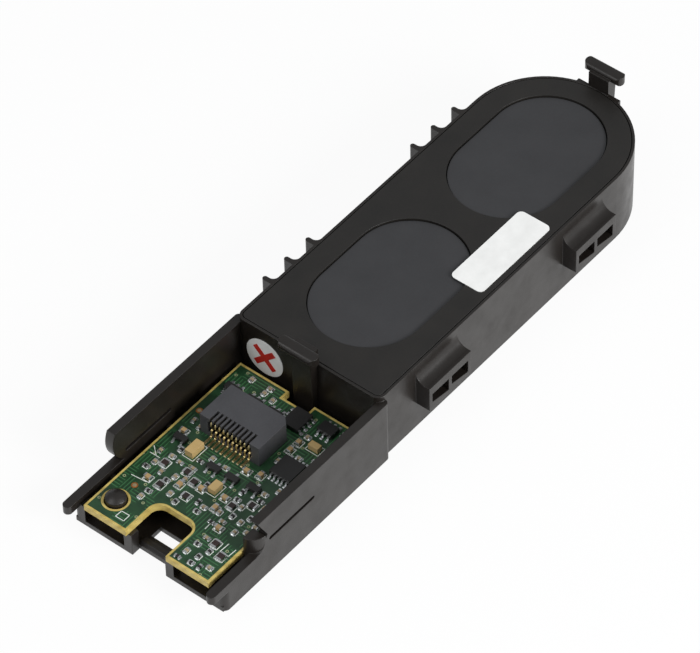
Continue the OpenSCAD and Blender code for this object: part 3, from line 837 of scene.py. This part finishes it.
@dataclass
class BoardAssembly:
    """The circuit board with its mask, its legend, its pads and its parts."""

    border: float = 0.5 * MM
    mask_t: float = 0.03 * MM
    pad_t: float = 0.05 * MM
    pad_margin: float = 0.18 * MM
    lead_reach: float = 0.15 * MM
    face_t: float = 0.03 * MM
    # Radius of a test pad's gilded face, as a share of the pad's diameter.
    face_share: float = 0.3
    laminate: GlassLaminate = GlassLaminate()
    mask: SolderMask = SolderMask()
    chip: MouldedPlastic = MouldedPlastic(
        "black_epoxy_chip", "#191818", "#242322", 0.42, 0.25, 0.01, 0.1)
    tin: PlatedMetal = PlatedMetal("tinned_lead", "#d4d6d8", 0.28, 0.4)
    solder: PlatedMetal = PlatedMetal("tin_solder", "#dcdedf", 0.22, 0.5)
    copper: PlatedMetal = PlatedMetal("bare_copper", "#e08a44", 0.4, 0.5)
    tantalum: MouldedPlastic = MouldedPlastic(
        "tan_epoxy", "#b89a62", "#c8ad7a", 0.4, 0.3, 0.01, 0.1)
    resistor: MouldedPlastic = MouldedPlastic(
        "glazed_resistor", "#251c1a", "#3a2a26", 0.3, 0.3, 0.005, 0.08)
    ceramic: MouldedPlastic = MouldedPlastic(
        "fired_ceramic", "#a98a5f", "#c2a577", 0.45, 0.3, 0.01, 0.1)
    face: PlatedMetal = PlatedMetal("gilded_pad_face", "#f2dfb0", 0.35, 0.6)

    def mask_sheet(self) -> None:
        """Lays the mask on the top of the board, short of its edges."""
        piece = Piece("solder_mask_sheet")
        bm = piece.bm
        bm.from_mesh(NODES["circuit_board"].data)
        bmesh.ops.remove_doubles(bm, verts=bm.verts, dist=WELD)
        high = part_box("circuit_board")[1].z
        rest = [f for f in bm.faces
                if min(v.co.z for v in f.verts) < high - 10 * WELD]
        bmesh.ops.delete(bm, geom=rest, context="FACES")
        bmesh.ops.dissolve_limit(bm, angle_limit=0.01, verts=bm.verts,
                                 edges=bm.edges)
        rim = bmesh.ops.inset_region(bm, faces=bm.faces,
                                     thickness=self.border,
                                     use_boundary=True, use_even_offset=True)
        bmesh.ops.delete(bm, geom=rim["faces"], context="FACES")
        piece.raised(list(bm.faces), self.mask_t)
        bmesh.ops.triangulate(bm, faces=[f for f in bm.faces
                                         if len(f.verts) > 4])
        piece.finish(self.mask.make(), "board")

    def solder_pads(self, solder: bpy.types.Material) -> None:
        """Lays a tinned pad under each lead and solder end.

        Args:
            solder: The finish of the pads.
        """
        piece = Piece("solder_pads")
        top = on_board((0.0, 0.0)).z
        for name in ("solder_ends", "main_chip_leads", "small_chip_leads",
                     "transistor_leads", "socket_lower_contacts"):
            for low, high in feet(name, self.lead_reach):
                middle = (low + high) / 2
                piece.block(Vector((middle.x, middle.y, top)), (
                    high.x - low.x + 2 * self.pad_margin,
                    high.y - low.y + self.pad_margin, self.pad_t))
        piece.finish(solder, "tin")

    def pad_faces(self) -> None:
        """Lays a gilded face on each test pad, inside its copper ring."""
        piece = Piece("test_pad_faces")
        for low, high in feet("test_pads", 1.0 * MM):
            middle = (low + high) / 2
            piece.disc(Vector((middle.x, middle.y, high.z)),
                       (high.x - low.x) * self.face_share, self.face_t)
        piece.finish(self.face.make(), "gold_contact")

    def build(self) -> None:
        """Lays the thin pieces on the board and dresses its parts.

        The small parts look for places where only the mask lies, so they
        come after the mask and before the pads.
        """
        solder = self.solder.make()
        dress(self.laminate.make(), "circuit_board")
        self.mask_sheet()
        legend = Legend(self.mask_t)
        legend.draw()
        SmallChips(self.pad_t, self.pad_margin, solder).build(legend)
        self.solder_pads(solder)
        self.pad_faces()
        dress(self.chip.make(), "main_chip", "small_chips", "transistors")
        dress(self.tin.make(), "main_chip_leads", "small_chip_leads",
              "transistor_leads")
        dress(solder, "solder_ends")
        dress(self.copper.make(), "test_pads")
        dress(self.tantalum.make(), "tantalum_capacitors")
        dress(self.resistor.make(), "chip_resistors")
        dress(self.ceramic.make(), "chip_capacitors")


@dataclass(frozen=True)
class SoftLamp:
    """A square soft lamp that looks at the object."""

    name: str
    place: tuple[float, float, float]
    size: float
    power: float

    def hang(self) -> None:
        """Hangs the lamp in its place."""
        light = bpy.data.lights.new(self.name, "AREA")
        light.size = self.size
        light.energy = self.power
        lamp = bpy.data.objects.new(self.name, light)
        lamp.location = self.place
        lamp.rotation_euler = (-Vector(self.place)).to_track_quat(
            "-Z", "Y").to_euler()
        bpy.context.scene.collection.objects.link(lamp)


@dataclass
class Studio:
    """Floor, light and camera."""

    floor_half: float = 3.0
    # How much of the floor is plain white to the camera; the rest is paper
    # that takes the object's shadow.
    plain_share: float = 0.92
    room_colour: str = "#b4b6b8"
    room_strength: float = 0.9
    lamps: tuple[SoftLamp, ...] = (
        SoftLamp("key_lamp", (0.05, -0.8, 0.42), 0.35, 7.5),
        SoftLamp("fill_lamp", (-0.7, 0.25, 0.8), 0.6, 3.0))
    azimuth: float = -139.862
    elevation: float = 47.425
    roll: float = -1.435
    target: Vector = field(default_factory=lambda: Vector((0.83, 8.92, 0)) * MM)
    distance: float = 0.956
    sensor: float = 36
    # The focal length over the width of the view, times the sensor's width.
    lens: float = 4791.3 / 700 * 36

    def floor(self) -> None:
        """Lays a white floor that keeps part of the object's shadow."""
        bm = bmesh.new()
        bmesh.ops.create_grid(bm, x_segments=1, y_segments=1, size=self.floor_half)
        mesh = bpy.data.meshes.new("floor")
        bm.to_mesh(mesh)
        bm.free()
        r = Recipe("white_paper_floor")
        path = r.add("ShaderNodeLightPath").outputs
        seen = r.add("ShaderNodeMath", {0: path["Is Camera Ray"],
                                        1: path["Is Glossy Ray"]},
                     operation="ADD").outputs[0]
        seen = r.add("ShaderNodeMath", {0: seen,
                                        1: path["Is Transmission Ray"]},
                     operation="ADD", use_clamp=True).outputs[0]
        share = r.add("ShaderNodeMath", {0: seen, 1: self.plain_share},
                      operation="MULTIPLY").outputs[0]
        paper = r.add("ShaderNodeBsdfDiffuse", {"Color": srgb("#f2f2f2")})
        glow = r.add("ShaderNodeEmission", {"Color": (1, 1, 1, 1),
                                            "Strength": 1.0})
        both = r.add("ShaderNodeMixShader", {0: share, 1: paper.outputs[0],
                                             2: glow.outputs[0]})
        r.tree.links.new(both.outputs[0], r.output.inputs["Surface"])
        mesh.materials.append(r.material)
        floor = bpy.data.objects.new("floor", mesh)
        bpy.context.scene.collection.objects.link(floor)

    def light(self) -> None:
        """Lights the object from its right side and a little from above."""
        world = bpy.data.worlds.new("room")
        bpy.context.scene.world = world
        world.use_nodes = True
        back = world.node_tree.nodes["Background"]
        back.inputs["Color"].default_value = srgb(self.room_colour)
        back.inputs["Strength"].default_value = self.room_strength
        for lamp in self.lamps:
            lamp.hang()

    def camera(self) -> None:
        """Sets the camera in front of the tray, looking down on it."""
        az, el, roll = (math.radians(v) for v in
                        (self.azimuth, self.elevation, self.roll))
        out = Vector((math.cos(el) * math.cos(az),
                      math.cos(el) * math.sin(az), math.sin(el)))
        right = (-out).cross(Vector((0, 0, 1))).normalized()
        up = right.cross(-out)
        across = math.cos(roll) * right + math.sin(roll) * up
        upright = -math.sin(roll) * right + math.cos(roll) * up
        pose = Matrix((across, upright, out)).transposed().to_4x4()
        pose.translation = self.target + out * self.distance
        data = bpy.data.cameras.new("camera")
        data.lens = self.lens
        data.sensor_width = self.sensor
        data.clip_start = 0.01
        data.clip_end = 10
        camera = bpy.data.objects.new("camera", data)
        camera.matrix_world = pose
        bpy.context.scene.collection.objects.link(camera)
        bpy.context.scene.camera = camera

    def build(self) -> None:
        """Sets the floor, the light, the camera and the view."""
        self.floor()
        self.light()
        self.camera()
        bpy.context.scene.view_settings.view_transform = "Standard"


def main() -> None:
    """Builds and dresses every sub-assembly and logs each one as built."""
    logging.basicConfig(level=logging.INFO, format="%(message)s")
    random.seed(SEED)
    for part in (BatteryHousing(), Labels(), CellStacks(), CableSocket(),
                 BoardAssembly(), Studio()):
        part.build()
        LOG.info("%s is built", type(part).__name__)


if __name__ == "__main__":
    main()
